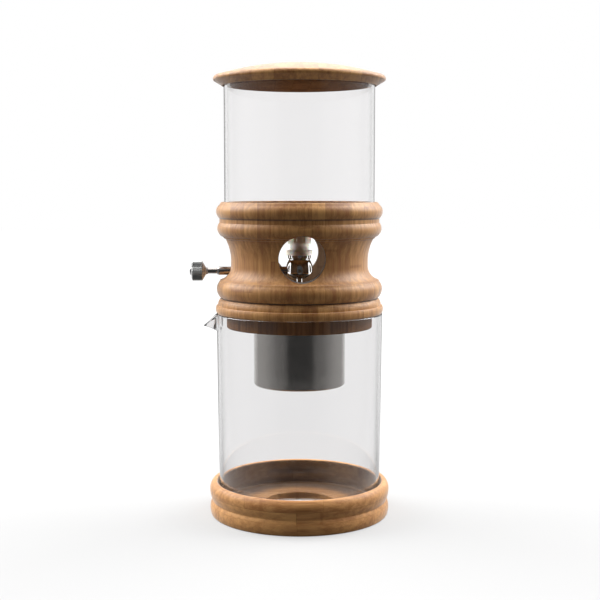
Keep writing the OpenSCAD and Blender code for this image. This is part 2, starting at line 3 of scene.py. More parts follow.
import bmesh
import bpy
from mathutils import Matrix, Vector


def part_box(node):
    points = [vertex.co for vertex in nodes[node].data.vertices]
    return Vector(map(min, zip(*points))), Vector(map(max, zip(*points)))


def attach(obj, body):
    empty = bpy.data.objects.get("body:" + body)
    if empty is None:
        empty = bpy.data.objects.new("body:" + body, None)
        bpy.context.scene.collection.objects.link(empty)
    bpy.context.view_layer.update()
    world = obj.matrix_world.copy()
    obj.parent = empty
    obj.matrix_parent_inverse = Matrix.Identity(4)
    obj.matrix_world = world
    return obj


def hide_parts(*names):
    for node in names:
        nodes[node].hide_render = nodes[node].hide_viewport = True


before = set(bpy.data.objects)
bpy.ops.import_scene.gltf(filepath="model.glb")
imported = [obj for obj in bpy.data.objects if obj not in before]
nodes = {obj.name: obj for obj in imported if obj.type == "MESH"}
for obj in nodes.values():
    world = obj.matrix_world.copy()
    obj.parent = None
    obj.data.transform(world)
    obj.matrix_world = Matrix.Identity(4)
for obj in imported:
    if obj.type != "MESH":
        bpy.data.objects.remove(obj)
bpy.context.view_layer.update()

mm = 0.001

print("camera")
cameraSettings = {
    "lens": 70, "sensor": 36,
    "distance": 0.964,      # from the tower's axis
    "height": 0.2745,
    "side": radians(-2.3),  # round the axis, towards -X
    "heading": radians(-2.33),
    "tilt": radians(-5.66),
}


def makeCamera(c):
    camera = bpy.data.objects.new("camera", bpy.data.cameras.new("camera"))
    camera.data.lens = c["lens"]
    camera.data.sensor_width = c["sensor"]
    away, side = c["distance"], c["side"]
    camera.location = (away * sin(side), -away * cos(side), c["height"])
    camera.rotation_euler = (pi / 2 + c["tilt"], 0, c["heading"])
    bpy.context.scene.collection.objects.link(camera)
    bpy.context.scene.camera = camera


makeCamera(cameraSettings)

facets = {   # round a turned piece
    "wood": 192, "neck": 256, "carafe": 288, "tank": 256, "cup": 224, "bell": 128, "port": 64,
    "stem": 96, "cutter": 128,
}
shading = {   # lengths in mm, angles to piece() in degrees
    "nearCorner": 0.25, "cornerSteps": 4, "sameSpot": 0.0005, "sharp": 38, "glassSharp": 60,
    "bevelFrom": radians(30), "bevelSteps": 2,
}


def swell(start, end, steps=14):
    # points of an arc that runs upright at start and ends at end, both as (radius, height)
    across = abs(end[0] - start[0])
    along = abs(end[1] - start[1])
    radius = (across ** 2 + along ** 2) / (2 * across)
    turn = atan2(along, radius - across)
    sideways = 1 if end[0] > start[0] else -1
    upwards = 1 if end[1] > start[1] else -1
    points = []
    for i in range(steps + 1):
        a = turn * i / steps
        points.append((start[0] + sideways * radius * (1 - cos(a)),
                       start[1] + upwards * radius * sin(a)))
    return points


def bead(low, wide, high, steps=14):
    # a bead's outline, upwards through its widest point
    return swell(wide, low, steps)[::-1] + swell(wide, high, steps)[1:]


def rounded(bm, corners):
    # corners is {vertex: radius in mm}; each is rounded on the flat outline
    for radius in sorted(set(corners.values())):
        verts = [v for v, r in corners.items() if r == radius]
        bmesh.ops.bevel(bm, geom=verts, offset=radius * mm, offset_type="OFFSET",
                        affect="VERTICES", segments=shading["cornerSteps"], profile=0.5,
                        clamp_overlap=True, material=-1)


def supported(outline, closed):
    # long straight stretches get a point near each end, so that smooth shading keeps them flat
    points = []
    for i, p in enumerate(outline):
        points.append(p)
        if i + 1 == len(outline) and not closed:
            break
        q = outline[(i + 1) % len(outline)]
        length = hypot(q[0] - p[0], q[1] - p[1])
        starts = shading["nearCorner"] + (p[2] if len(p) > 2 else 0)
        ends = shading["nearCorner"] + (q[2] if len(q) > 2 else 0)
        if length > 2 * (starts + ends):
            for share in (starts / length, 1 - ends / length):
                points.append((p[0] + (q[0] - p[0]) * share, p[1] + (q[1] - p[1]) * share))
    return points


def spinOutline(outline, steps, closed=True, axis="Z", centre=(0, 0, 0)):
    # outline holds (radius, height) or (radius, height, rounding) in mm
    bm = bmesh.new()
    outline = supported(outline, closed)
    line = [bm.verts.new((p[0] * mm, 0, p[1] * mm)) for p in outline]
    corners = {v: p[2] for v, p in zip(line, outline) if len(p) > 2}
    for pair in zip(line, line[1:]):
        bm.edges.new(pair)
    if closed:
        bm.edges.new((line[-1], line[0]))
    rounded(bm, corners)
    bmesh.ops.spin(bm, geom=bm.verts[:] + bm.edges[:], cent=(0, 0, 0), axis=(0, 0, 1),
                   angle=2 * pi, steps=steps, use_merge=True)
    bmesh.ops.remove_doubles(bm, verts=bm.verts, dist=shading["sameSpot"] * mm)
    bmesh.ops.recalc_face_normals(bm, faces=bm.faces)
    if axis == "-X":   # heights become distances from the tower's axis towards -X
        bmesh.ops.rotate(bm, verts=bm.verts, cent=(0, 0, 0),
                         matrix=Matrix.Rotation(-pi / 2, 3, "Y"))
    bmesh.ops.translate(bm, verts=bm.verts, vec=Vector(centre) * mm)
    return bm


def piece(name, bm, body, material, replaced, sharp=shading["sharp"]):
    mesh = bpy.data.meshes.new(name)
    bm.to_mesh(mesh)
    bm.free()
    mesh.shade_smooth()
    mesh.set_sharp_from_angle(angle=radians(sharp))
    made = bpy.data.objects.new(name, mesh)
    bpy.context.scene.collection.objects.link(made)
    mesh.materials.append(material)
    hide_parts(*replaced)
    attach(made, body)


def level(node, end):
    # a node's lowest (0) or highest (1) height, in mm
    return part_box(node)[end].z / mm


def reach(node):
    # a turned node's radius, in mm
    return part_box(node)[1].y / mm


def outwards(node, end):
    # how far a node's far (0) or near (1) end is from the tower's axis towards -X, in mm
    return -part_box(node)[end].x / mm


def stemHeight():
    # the height of the stem's axis, in mm
    return (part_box("stem")[0].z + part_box("stem")[1].z) / 2 / mm


def nodeTree(material):
    material.use_nodes = True
    tree = material.node_tree
    tree.nodes.clear()
    return tree


def add(tree, kind, **values):
    node = tree.nodes.new(kind)
    for key, value in values.items():
        setattr(node, key, value)
    return node


def feed(tree, source, target):
    tree.links.new(source, target)


def calc(tree, operation, a, b=None, c=None):
    node = add(tree, "ShaderNodeMath", operation=operation)
    for socket, value in zip(node.inputs, (a, b, c)):
        if value is None:
            continue
        if isinstance(value, (int, float)):
            socket.default_value = value
        else:
            feed(tree, value, socket)
    return node.outputs[0]


def blendColours(tree, factor, a, b):
    node = add(tree, "ShaderNodeMix", data_type="RGBA")
    for socket, value in ((node.inputs[0], factor), (node.inputs[6], a), (node.inputs[7], b)):
        if isinstance(value, (int, float)):
            socket.default_value = value
        elif isinstance(value, tuple):
            socket.default_value = value if len(value) == 4 else value + (1,)
        else:
            feed(tree, value, socket)
    return node.outputs[2]


def remap(tree, value, low, high, to0=0.0, to1=1.0):
    node = add(tree, "ShaderNodeMapRange", interpolation_type="SMOOTHSTEP")
    feed(tree, value, node.inputs[0])
    for i, number in enumerate((low, high, to0, to1), 1):
        node.inputs[i].default_value = number
    return node.outputs[0]


def newGroup(name, inputs, outputs):
    group = bpy.data.node_groups.new(name, "ShaderNodeTree")
    for label, kind, value in inputs:
        socket = group.interface.new_socket(label, in_out="INPUT", socket_type=kind)
        if value is not None:
            socket.default_value = value
    for label, kind in outputs:
        group.interface.new_socket(label, in_out="OUTPUT", socket_type=kind)
    return group, add(group, "NodeGroupInput"), add(group, "NodeGroupOutput")


grain = {
    # scale, detail and weight of the noises
    "fine": (1500, 3, 0.9), "broad": (330, 2, 1.7), "cloud": (28, 2, 1.1),
    "alongFibre": 0.045, "stripShift": (0.7, 0.9, 1.3),
    "glueFrom": 0.00005, "glueTo": 0.00045, "glueTint": 0.4,
    "glueValue": 0.62, "glueSaturation": 1.1,
    "ringEvery": 0.17, "ringShift": 9, "ringWide": 0.012, "ringDark": 0.35,
    "roughness": 0.45, "roughnessRange": 0.15, "fibreHeight": 0.6, "glueDepth": 0.5,
}


def makeStripGroup(g):
    # laminated bamboo: strips along the vector's Z, with fibres, glue lines and growth rings
    group, given, result = newGroup("laminatedBamboo", (
        ("Vector", "NodeSocketVector", None),
        ("Width", "NodeSocketFloat", 0.009),
        ("Depth", "NodeSocketFloat", 0.02),
        ("Length", "NodeSocketFloat", 0.4),
        ("Pale", "NodeSocketColor", (0.45, 0.26, 0.13, 1)),
        ("Deep", "NodeSocketColor", (0.3, 0.15, 0.065, 1)),
        ("Contrast", "NodeSocketFloat", 1.0),
    ), (
        ("Color", "NodeSocketColor"),
        ("Roughness", "NodeSocketFloat"),
        ("Height", "NodeSocketFloat"),
    ))
    t = group
    parts = add(t, "ShaderNodeSeparateXYZ")
    feed(t, given.outputs["Vector"], parts.inputs[0])
    across = calc(t, "DIVIDE", parts.outputs[0], given.outputs["Width"])
    column = calc(t, "FLOOR", across)
    inwards = calc(t, "DIVIDE", parts.outputs[1], given.outputs["Depth"])
    layer = calc(t, "FLOOR", inwards)
    start = add(t, "ShaderNodeTexWhiteNoise", noise_dimensions="2D")
    pair = add(t, "ShaderNodeCombineXYZ")
    feed(t, column, pair.inputs[0])
    feed(t, layer, pair.inputs[1])
    feed(t, pair.outputs[0], start.inputs["Vector"])
    along = calc(t, "DIVIDE", parts.outputs[2], given.outputs["Length"])
    along = calc(t, "ADD", along, start.outputs[0])
    joint = calc(t, "FLOOR", along)
    cell = add(t, "ShaderNodeCombineXYZ")
    for source, socket in zip((column, layer, joint), cell.inputs):
        feed(t, source, socket)
    chance = add(t, "ShaderNodeTexWhiteNoise", noise_dimensions="3D")
    feed(t, cell.outputs[0], chance.inputs["Vector"])
    chances = add(t, "ShaderNodeSeparateColor")
    feed(t, chance.outputs[1], chances.inputs[0])

    # fibres: noise drawn out along the strip, shifted from strip to strip
    shift = add(t, "ShaderNodeVectorMath", operation="MULTIPLY_ADD")
    feed(t, chance.outputs[1], shift.inputs[0])
    shift.inputs[1].default_value = g["stripShift"]
    feed(t, given.outputs["Vector"], shift.inputs[2])
    drawn = add(t, "ShaderNodeVectorMath", operation="MULTIPLY")
    feed(t, shift.outputs[0], drawn.inputs[0])
    drawn.inputs[1].default_value = (1, 1, g["alongFibre"])
    noises = {}
    for key, source in (("fine", drawn), ("broad", drawn), ("cloud", shift)):
        noise = add(t, "ShaderNodeTexNoise", noise_dimensions="3D")
        feed(t, source.outputs[0], noise.inputs["Vector"])
        noise.inputs["Scale"].default_value, noise.inputs["Detail"].default_value = g[key][:2]
        noises[key] = noise.outputs[0]

    # glue lines where two strips meet: the distance to the nearest of a strip's edges and ends
    half = 0.5
    edges = []
    for place, size in ((across, "Width"), (inwards, "Depth"), (along, "Length")):
        edges.append(calc(t, "MULTIPLY", calc(t, "PINGPONG", place, half), given.outputs[size]))
    nearest = calc(t, "MINIMUM", edges[0], calc(t, "MINIMUM", edges[1], edges[2]))
    glue = remap(t, nearest, g["glueFrom"], g["glueTo"], 1, 0)

    # growth rings that cross a strip now and then
    ringPlace = calc(t, "ADD", calc(t, "DIVIDE", parts.outputs[2], g["ringEvery"]),
                     calc(t, "MULTIPLY", chances.outputs[1], g["ringShift"]))
    ring = remap(t, calc(t, "PINGPONG", ringPlace, half), 0.0, g["ringWide"], 1, 0)

    tone = calc(t, "SUBTRACT", chances.outputs[0], half)
    tone = calc(t, "MULTIPLY_ADD", tone, given.outputs["Contrast"], half)
    for key, noise in noises.items():
        tone = calc(t, "MULTIPLY_ADD", calc(t, "SUBTRACT", noise, half), g[key][2], tone)
    tone = calc(t, "SUBTRACT", tone, calc(t, "MULTIPLY", ring, g["ringDark"]))
    colour = blendColours(t, tone, given.outputs["Deep"], given.outputs["Pale"])
    darker = add(t, "ShaderNodeHueSaturation")
    darker.inputs["Value"].default_value = g["glueValue"]
    darker.inputs["Saturation"].default_value = g["glueSaturation"]
    feed(t, colour, darker.inputs["Color"])
    colour = blendColours(t, calc(t, "MULTIPLY", glue, g["glueTint"]), colour, darker.outputs[0])
    feed(t, colour, result.inputs["Color"])
    roughness = calc(t, "MULTIPLY_ADD", noises["fine"], g["roughnessRange"], g["roughness"])
    feed(t, roughness, result.inputs["Roughness"])
    height = calc(t, "MULTIPLY", noises["fine"], g["fibreHeight"])
    height = calc(t, "SUBTRACT", height, calc(t, "MULTIPLY", glue, g["glueDepth"]))
    feed(t, height, result.inputs["Height"])
    return group


mottling = {"smearDetail": 4, "smearFrom": 0.3, "smearTo": 0.7, "speckleFiner": 22}


def makeMottleGroup(m):
    # soft smears and fine speckle that vary a finish
    group, given, result = newGroup("mottle", (
        ("Vector", "NodeSocketVector", None),
        ("Scale", "NodeSocketFloat", 90.0),
        ("Low", "NodeSocketFloat", 0.1),
        ("High", "NodeSocketFloat", 0.2),
    ), (("Value", "NodeSocketFloat"), ("Speckle", "NodeSocketFloat")))
    smear = add(group, "ShaderNodeTexNoise")
    feed(group, given.outputs["Vector"], smear.inputs["Vector"])
    feed(group, given.outputs["Scale"], smear.inputs["Scale"])
    smear.inputs["Detail"].default_value = m["smearDetail"]
    span = add(group, "ShaderNodeMapRange")
    feed(group, smear.outputs[0], span.inputs[0])
    span.inputs[1].default_value = m["smearFrom"]
    span.inputs[2].default_value = m["smearTo"]
    feed(group, given.outputs["Low"], span.inputs[3])
    feed(group, given.outputs["High"], span.inputs[4])
    feed(group, span.outputs[0], result.inputs["Value"])
    speck = add(group, "ShaderNodeTexNoise")
    feed(group, given.outputs["Vector"], speck.inputs["Vector"])
    finer = calc(group, "MULTIPLY", given.outputs["Scale"], m["speckleFiner"])
    feed(group, finer, speck.inputs["Scale"])
    feed(group, speck.outputs[0], result.inputs["Speckle"])
    return group


print("finishes")
stripGroup = makeStripGroup(grain)
mottleGroup = makeMottleGroup(mottling)


def newMaterial(name):
    material = bpy.data.materials.new(name)
    return material, nodeTree(material)


def objectVector(tree, turn=(0, 0, 0), shift=(0, 0, 0)):
    place = add(tree, "ShaderNodeTexCoord")
    mapping = add(tree, "ShaderNodeMapping", vector_type="POINT")
    mapping.inputs["Location"].default_value = shift
    mapping.inputs["Rotation"].default_value = turn
    feed(tree, place.outputs["Object"], mapping.inputs["Vector"])
    return mapping.outputs[0]


def principled(tree, **values):
    shader = add(tree, "ShaderNodeBsdfPrincipled")
    for label, value in values.items():
        shader.inputs[label.replace("_", " ")].default_value = value
    return shader


def mottled(tree, scale, roughness):
    mottle = add(tree, "ShaderNodeGroup", node_tree=mottleGroup)
    feed(tree, objectVector(tree), mottle.inputs["Vector"])
    mottle.inputs["Scale"].default_value = scale
    mottle.inputs["Low"].default_value, mottle.inputs["High"].default_value = roughness
    return mottle


def speckled(tree, mottle, colour, dark):
    # specks of a slightly darker tone of the colour
    return blendColours(tree, mottle.outputs["Speckle"], colour, tuple(c * dark for c in colour))


def finishMaterial(tree, shader):
    out = add(tree, "ShaderNodeOutputMaterial")
    feed(tree, shader, out.inputs["Surface"])


def distance(tree, vector, keep, centre):
    # distance from a line or a plane: keep is 1 across it and 0 along it
    shift = add(tree, "ShaderNodeVectorMath", operation="SUBTRACT")
    feed(tree, vector, shift.inputs[0])
    shift.inputs[1].default_value = centre
    flat = add(tree, "ShaderNodeVectorMath", operation="MULTIPLY")
    feed(tree, shift.outputs[0], flat.inputs[0])
    flat.inputs[1].default_value = keep
    length = add(tree, "ShaderNodeVectorMath", operation="LENGTH")
    feed(tree, flat.outputs[0], length.inputs[0])
    return length.outputs["Value"]


# painted shade: how the darker colour fades out past the walls of wells and windows and beside the
# seams, and how dark the seams get
shade = {
    "wellEdge": (0.0002, 0.0008), "windowEdge": (0.0001, 0.0003),   # fades past a wall, in metres
    "seamEdge": (0.0003, 0.001), "seamShadeStrength": 0.85, "saturation": 0.85,
}


def paintedShadeMask(tree, b, s):
    # painted shade: 1 inside a well, inside the window and along the seams, 0 on the skin
    vector = objectVector(tree)
    mask = 0.0
    if "well" in b:
        middle, floor, wall = b["well"]
        out = distance(tree, vector, (1, 1, 0), (0, 0, 0))
        edge = remap(tree, out, wall + s["wellEdge"][0], wall + s["wellEdge"][1], 1, 0)
        mask = calc(tree, "MULTIPLY", remap(tree, out, middle, floor), edge)
    for seam in b.get("seams", ()):
        away = distance(tree, vector, (0, 0, 1), (0, 0, seam))
        mask = calc(tree, "MAXIMUM", mask, remap(tree, away, *s["seamEdge"], s["seamShadeStrength"], 0))
    if "window" in b:
        z, r = b["window"]
        beside = distance(tree, vector, (1, 0, 1), (0, 0, z))
        rim = remap(tree, beside, r + s["windowEdge"][0], r + s["windowEdge"][1], 1, 0)
        mask = calc(tree, "MAXIMUM", mask, rim)
    return mask


woodFinish = {   # used where a piece's own finish gives no other value
    "coat": 0.12, "sheen": 0.5, "specular": 0.35, "coatRoughness": 0.4, "sheenRoughness": 0.35,
    "bump": 0.25, "bumpHeight": 0.0003,
}


def bambooMaterial(name, piecesOwn):
    b = dict(woodFinish, **piecesOwn)
    material, tree = newMaterial(name)
    vector = objectVector(tree, b.get("turn", (0, 0, 0)), b.get("shift", (0, 0, 0)))
    strips = add(tree, "ShaderNodeGroup", node_tree=stripGroup)
    feed(tree, vector, strips.inputs["Vector"])
    for label in ("Width", "Depth", "Length", "Contrast"):
        strips.inputs[label].default_value = b[label.lower()]
    strips.inputs["Pale"].default_value = b["pale"] + (1,)
    strips.inputs["Deep"].default_value = b["deep"] + (1,)
    shader = principled(tree, Coat_Weight=b["coat"], Coat_Roughness=b["coatRoughness"],
                        Sheen_Weight=b["sheen"], Sheen_Roughness=b["sheenRoughness"],
                        Specular_IOR_Level=b["specular"])
    colour = strips.outputs["Color"]
    if "paintedShadeValue" in b:
        # painted shade: the walls of wells and windows, and the seams between pieces, are painted
        # darker where shade would fall
        paintedShadeTone = add(tree, "ShaderNodeHueSaturation")
        paintedShadeTone.inputs["Value"].default_value = b["paintedShadeValue"]
        paintedShadeTone.inputs["Saturation"].default_value = shade["saturation"]
        feed(tree, colour, paintedShadeTone.inputs["Color"])
        colour = blendColours(tree, paintedShadeMask(tree, b, shade), colour, paintedShadeTone.outputs[0])
    feed(tree, colour, shader.inputs["Base Color"])
    feed(tree, strips.outputs["Roughness"], shader.inputs["Roughness"])
    bump = add(tree, "ShaderNodeBump")
    bump.inputs["Strength"].default_value = b["bump"]
    bump.inputs["Distance"].default_value = b["bumpHeight"]
    feed(tree, strips.outputs["Height"], bump.inputs["Height"])
    feed(tree, bump.outputs[0], shader.inputs["Normal"])
    finishMaterial(tree, shader.outputs[0])
    return material


def metalMaterial(name, m):
    material, tree = newMaterial(name)
    mottle = mottled(tree, m["scale"], m["roughness"])
    shader = principled(tree, Metallic=m.get("metallic", 1.0))
    feed(tree, speckled(tree, mottle, m["colour"], m["dark"]), shader.inputs["Base Color"])
    feed(tree, mottle.outputs["Value"], shader.inputs["Roughness"])
    finishMaterial(tree, shader.outputs[0])
    return material


def softMaterial(name, s):
    material, tree = newMaterial(name)
    mottle = mottled(tree, s["scale"], s["roughness"])
    shader = principled(tree, Subsurface_Weight=s["soft"], Subsurface_Scale=s["softDepth"])
    feed(tree, speckled(tree, mottle, s["colour"], s["dark"]), shader.inputs["Base Color"])
    feed(tree, mottle.outputs["Value"], shader.inputs["Roughness"])
    finishMaterial(tree, shader.outputs[0])
    return material


def glassMaterial(name, g):
    # light from lamps and soft bounces goes straight through, so that what is inside stays lit
    material, tree = newMaterial(name)
    mottle = mottled(tree, g["scale"], g["roughness"])
    shader = principled(tree, Transmission_Weight=1.0, IOR=g["ior"])
    tint = speckled(tree, mottle, g["colour"], g["dark"])
    # painted shade: the tint turns dark along the glass's outline, where the glass would show its
    # dark surroundings
    facing = add(tree, "ShaderNodeLayerWeight")
    edge = remap(tree, facing.outputs["Facing"], *g["outlineShadeFrom"])
    tint = blendColours(tree, edge, tint, g["edge"])
    feed(tree, tint, shader.inputs["Base Color"])
    feed(tree, mottle.outputs["Value"], shader.inputs["Roughness"])
    clear = add(tree, "ShaderNodeBsdfTransparent")
    clear.inputs[0].default_value = g["shadow"] + (1,)
    path = add(tree, "ShaderNodeLightPath")
    through = calc(tree, "MAXIMUM", path.outputs["Is Shadow Ray"], path.outputs["Is Diffuse Ray"])
    mix = add(tree, "ShaderNodeMixShader")
    feed(tree, through, mix.inputs[0])
    feed(tree, shader.outputs[0], mix.inputs[1])
    feed(tree, clear.outputs[0], mix.inputs[2])
    finishMaterial(tree, mix.outputs[0])
    return material


upright = {   # the neck, ring and plugs are turned from strips that stand upright
    "pale": (0.56, 0.285, 0.09), "deep": (0.28, 0.112, 0.028),
    "depth": 0.05, "length": 0.6, "contrast": 0.4,
}
bambooFinishes = {
    # painted shade: the neck's chamber, its window bore and its two seams, the ring's seam and the
    # base's well are painted darker
    "neck": dict(upright, width=0.0105, shift=(0.0035, 0.025, 0), well=(0.0, 0.001, 0.048),
                 window=(0.2162, 0.01845), seams=(0.1816, 0.247), paintedShadeValue=0.35),
    "ring": dict(upright, width=0.0125, shift=(0.001, 0.025, 0.3), seams=(0.1816,), paintedShadeValue=0.35),
    # painted shade: the plugs and the shelf get a darker copy of the bamboo without gloss, for
    # undersides and hollows that lie in shade
    "plug": dict(upright, pale=(0.27, 0.125, 0.045), deep=(0.14, 0.055, 0.018), width=0.014,
                 shift=(0.006, 0.025, 0.7), coat=0.0, specular=0.0, sheen=0.0),
    # painted light: the base's bamboo is paler than the rest, standing in for the light the white
    # floor throws up onto it
    "base": dict(upright, pale=(0.7, 0.36, 0.125), deep=(0.38, 0.155, 0.043), width=0.0095,
                 length=0.062, turn=(0, radians(90), 0), shift=(0.0, 0.025, 0.02),
                 well=(0.04, 0.052, 0.0685), paintedShadeValue=0.3),
    "lid": dict(upright, width=0.017, depth=0.03, length=0.7, turn=(radians(90), 0, 0),
                shift=(0.005, 0.003, 0)),
}
bamboo = {key: bambooMaterial(key + "Bamboo", values) for key, values in bambooFinishes.items()}

metals = {
    "steel": {"colour": (0.46, 0.442, 0.42), "dark": 0.92, "roughness": (0.13, 0.2), "scale": 60},
    "chrome": {"colour": (0.76, 0.75, 0.74), "dark": 0.96, "roughness": (0.04, 0.09), "scale": 120},
    "stemChrome": {"colour": (0.48, 0.44, 0.42), "dark": 0.92, "roughness": (0.12, 0.2),
                   "scale": 120},
    "knobMetal": {"colour": (0.5, 0.51, 0.5), "dark": 0.85, "roughness": (0.3, 0.42), "scale": 300},
    "flareMetal": {"colour": (0.5, 0.52, 0.56), "dark": 0.9, "roughness": (0.45, 0.55),
                   "scale": 300, "metallic": 0.1},
}
metal = {key: metalMaterial(key, values) for key, values in metals.items()}

softFinish = {"dark": 0.93, "scale": 150, "soft": 0.0, "softDepth": 0.002}
softs = {
    "milkyPlastic": dict(softFinish, colour=(0.86, 0.81, 0.7), roughness=(0.38, 0.5), soft=0.25),
    "sealPlastic": dict(softFinish, colour=(0.88, 0.88, 0.86), roughness=(0.4, 0.5)),
    "whiteSilicone": dict(softFinish, colour=(0.85, 0.83, 0.8), roughness=(0.45, 0.6), scale=80,
                          soft=0.15),
}
soft = {key: softMaterial(key, values) for key, values in softs.items()}
glass = glassMaterial("clearGlass", {
    "colour": (0.985, 0.98, 0.982), "dark": 0.985, "roughness": (0.0, 0.012), "scale": 40,
    # the edge colour is painted shade along the glass's outline
    "ior": 1.47, "shadow": (0.93, 0.93, 0.93), "edge": (0.42, 0.42, 0.42), "outlineShadeFrom": (0.68, 0.88),
})

print("base")
baseShape = {
    "floor": 6, "hole": 30, "recess": 68.5, "lowerBead": 74.8, "groove": 73.1,
    "lowerWide": 0.2, "grooveAt": 0.45, "upperWide": 0.76,   # shares of the height
    "footIn": 1.5, "beadIn": 0.7, "grooveIn": 0.2, "topIn": 2.4, "flatIn": 3.6,
    "quirk": 0.6, "edge": 0.8, "arris": 0.3, "holeRound": 0.4, "rimRound": 1.6,
}


def makeBase(b):
    top = level("base", 1)
    r = reach("base")
    grooveZ = top * b["grooveAt"]
    grooveR = b["groove"] + b["grooveIn"]
    outline = [(b["hole"], 0, b["holeRound"]), (b["lowerBead"] - b["footIn"], 0, b["arris"])]
    outline += bead((b["lowerBead"] - b["beadIn"], b["edge"]),
                    (b["lowerBead"], top * b["lowerWide"]), (grooveR, grooveZ - b["quirk"]))
    outline += [(b["groove"], grooveZ, b["arris"])]
    outline += bead((grooveR, grooveZ + b["quirk"]), (r, top * b["upperWide"]),
                    (r - b["topIn"], top - b["quirk"]))
    outline += [(r - b["flatIn"], top, b["edge"]), (b["recess"], top, b["rimRound"]),
                (b["recess"], b["floor"]), (b["hole"], b["floor"], b["edge"])]
    bm = spinOutline(outline, facets["wood"])
    piece("turned_base", bm, "base", bamboo["base"], ["base"])


makeBase(baseShape)

print("filter ring and plug")
ringShape = {
    "bore": 38.4, "seat": 43.5, "seatHeight": 178.6, "register": 47.6, "registerHeight": 3.4,
    "wideAt": 0.3, "stepAt": 0.5, "beadIn": 0.6, "stepIn": 1.8, "shoulderIn": 3.8,
    "edge": 0.8, "arris": 0.3, "fine": 0.2, "shoulderRound": 0.5, "registerRound": 0.4,
    "seatBevel": 1,
}


def makeRing(s):
    low = level("filter_ring", 0)
    lip = level("filter_ring", 1)
    top = lip - s["registerHeight"]
    tall = top - low
    r = reach("filter_ring")
    beadR, stepR, shoulderR = r - s["beadIn"], r - s["stepIn"], r - s["shoulderIn"]
    stepZ = low + tall * s["stepAt"]
    outline = [(s["bore"], low), (beadR - s["edge"], low, s["arris"])]
    outline += bead((beadR, low + s["edge"]), (r, low + tall * s["wideAt"]), (beadR, stepZ))
    outline += [(stepR, stepZ + s["arris"], s["fine"])]
    outline += swell((stepR, stepZ + s["edge"]), (shoulderR, top - s["edge"]))
    outline += [(shoulderR - s["edge"], top, s["shoulderRound"]), (s["register"], top),
                (s["register"], lip, s["registerRound"]),
                (s["seat"] + s["seatBevel"], lip, s["fine"]),
                (s["seat"], lip - s["seatBevel"], s["fine"]), (s["seat"], s["seatHeight"]),
                (s["bore"], s["seatHeight"], s["fine"])]
    bm = spinOutline(outline, facets["wood"])
    piece("turned_ring", bm, "filter_ring", bamboo["ring"], ["filter_ring"])


plugShape = {"boreRound": 0.5, "rimRound": 0.9}


def makeRingPlug(p):
    low = level("ring_plug", 0)
    top = level("ring_plug", 1)
    r = reach("ring_plug")
    bore = ringShape["bore"]
    outline = [(bore, low, p["boreRound"]), (r, low, p["rimRound"]), (r, top), (bore, top)]
    bm = spinOutline(outline, facets["wood"])
    piece("hanging_plug", bm, "filter_ring", bamboo["plug"], ["ring_plug"])


makeRing(ringShape)
makeRingPlug(plugShape)

print("neck, shelf and crown")
neckShape = {
    "chamber": 48, "foot": 68.3, "waist": 56.45, "collar": 67.6, "band": 65.8,   # radii
    "coveAt": 14.4, "cove": 34.3, "coveFoot": 12, "waistTall": 4, "coveSteps": 20,
    "footIn": 3.6, "footLow": 2.4, "footHigh": 1.9, "footQuirk": 1.6, "footWide": 0.52,
    "coveIn": 2.7, "beadIn": 3.2, "filletIn": 1.95, "filletCove": 1.5, "filletOut": 0.2,
    "filletUp": (-0.3, 0.4, 1.4, 2), "beadWide": 0.62, "bandOut": 0.3, "bandDown": 0.4,
    "edge": 0.8, "arris": 0.3, "fine": 0.2, "mouthRound": 0.5, "rebateGap": 0.02,
    "window": (216.2, 18.45), "windowLong": 160, "windowBevel": 0.35, "windowNear": 0.02,
    "sleeveHole": (203.5, 3.9), "sleeveFrom": -75, "sleeveLong": 80,
}


def neckOutline(n):
    bottom = level("neck", 0)
    top = level("neck", 1)
    shelf = level("tank_shelf", 0)
    rebate = reach("tank_shelf") + n["rebateGap"]
    coveZ = bottom + n["coveAt"]
    collarZ = coveZ + n["cove"]
    foot, waist, collar, band = n["foot"], n["waist"], n["collar"], n["band"]
    beadR = collar - n["beadIn"]
    fillet = beadR - n["filletIn"]
    under, low, high, over = (collarZ + up for up in n["filletUp"])
    wideZ = collarZ + (top - collarZ) * n["beadWide"]
    outline = [(n["chamber"], bottom, n["mouthRound"]), (foot - n["footIn"], bottom, n["arris"])]
    outline += bead((foot - n["footLow"], bottom + n["edge"]),
                    (foot, bottom + n["coveAt"] * n["footWide"]),
                    (foot - n["footHigh"], coveZ - n["footQuirk"]))
    outline += swell((waist, coveZ + n["coveFoot"]), (foot - n["coveIn"], coveZ),
                     n["coveSteps"])[::-1]
    outline += swell((waist, coveZ + n["coveFoot"] + n["waistTall"]),
                     (fillet - n["filletCove"], under), n["coveSteps"])
    outline += [(fillet, low, n["fine"]), (fillet + n["filletOut"], high, n["arris"])]
    outline += bead((beadR, over), (collar, wideZ), (band + n["bandOut"], top - n["bandDown"]))
    outline += [(band, top), (rebate, top), (rebate, shelf), (n["chamber"], shelf)]
    return outline


crownShape = {
    "socket": 62.2, "wide": 68.5, "bandTall": 3.2, "wideAt": 0.45,
    "lowIn": 2.1, "lowUp": 0.7, "highIn": 2.4, "highDown": 2.6,
    "shoulder": ((3.5, 1, 0.5), (4.4, 0.2, 0.4), (5.2, 0, 0.3)),   # in, down and rounding
    "bandRound": (0.1, 0.15), "socketRound": 0.5,
}


def makeCrown(c):
    low = level("crown", 0)
    top = level("crown", 1)
    start = low + c["bandTall"]
    band = neckShape["band"]
    wide = c["wide"]
    outline = [(c["socket"], low), (band, low, c["bandRound"][0]), (band, start, c["bandRound"][1])]
    outline += bead((wide - c["lowIn"], start + c["lowUp"]),
                    (wide, start + (top - start) * c["wideAt"]),
                    (wide - c["highIn"], top - c["highDown"]))
    outline += [(wide - inwards, top - down, turn) for inwards, down, turn in c["shoulder"]]
    outline += [(c["socket"], top, c["socketRound"])]
    bm = spinOutline(outline, facets["wood"])
    piece("turned_crown", bm, "neck", bamboo["neck"], ["crown"])


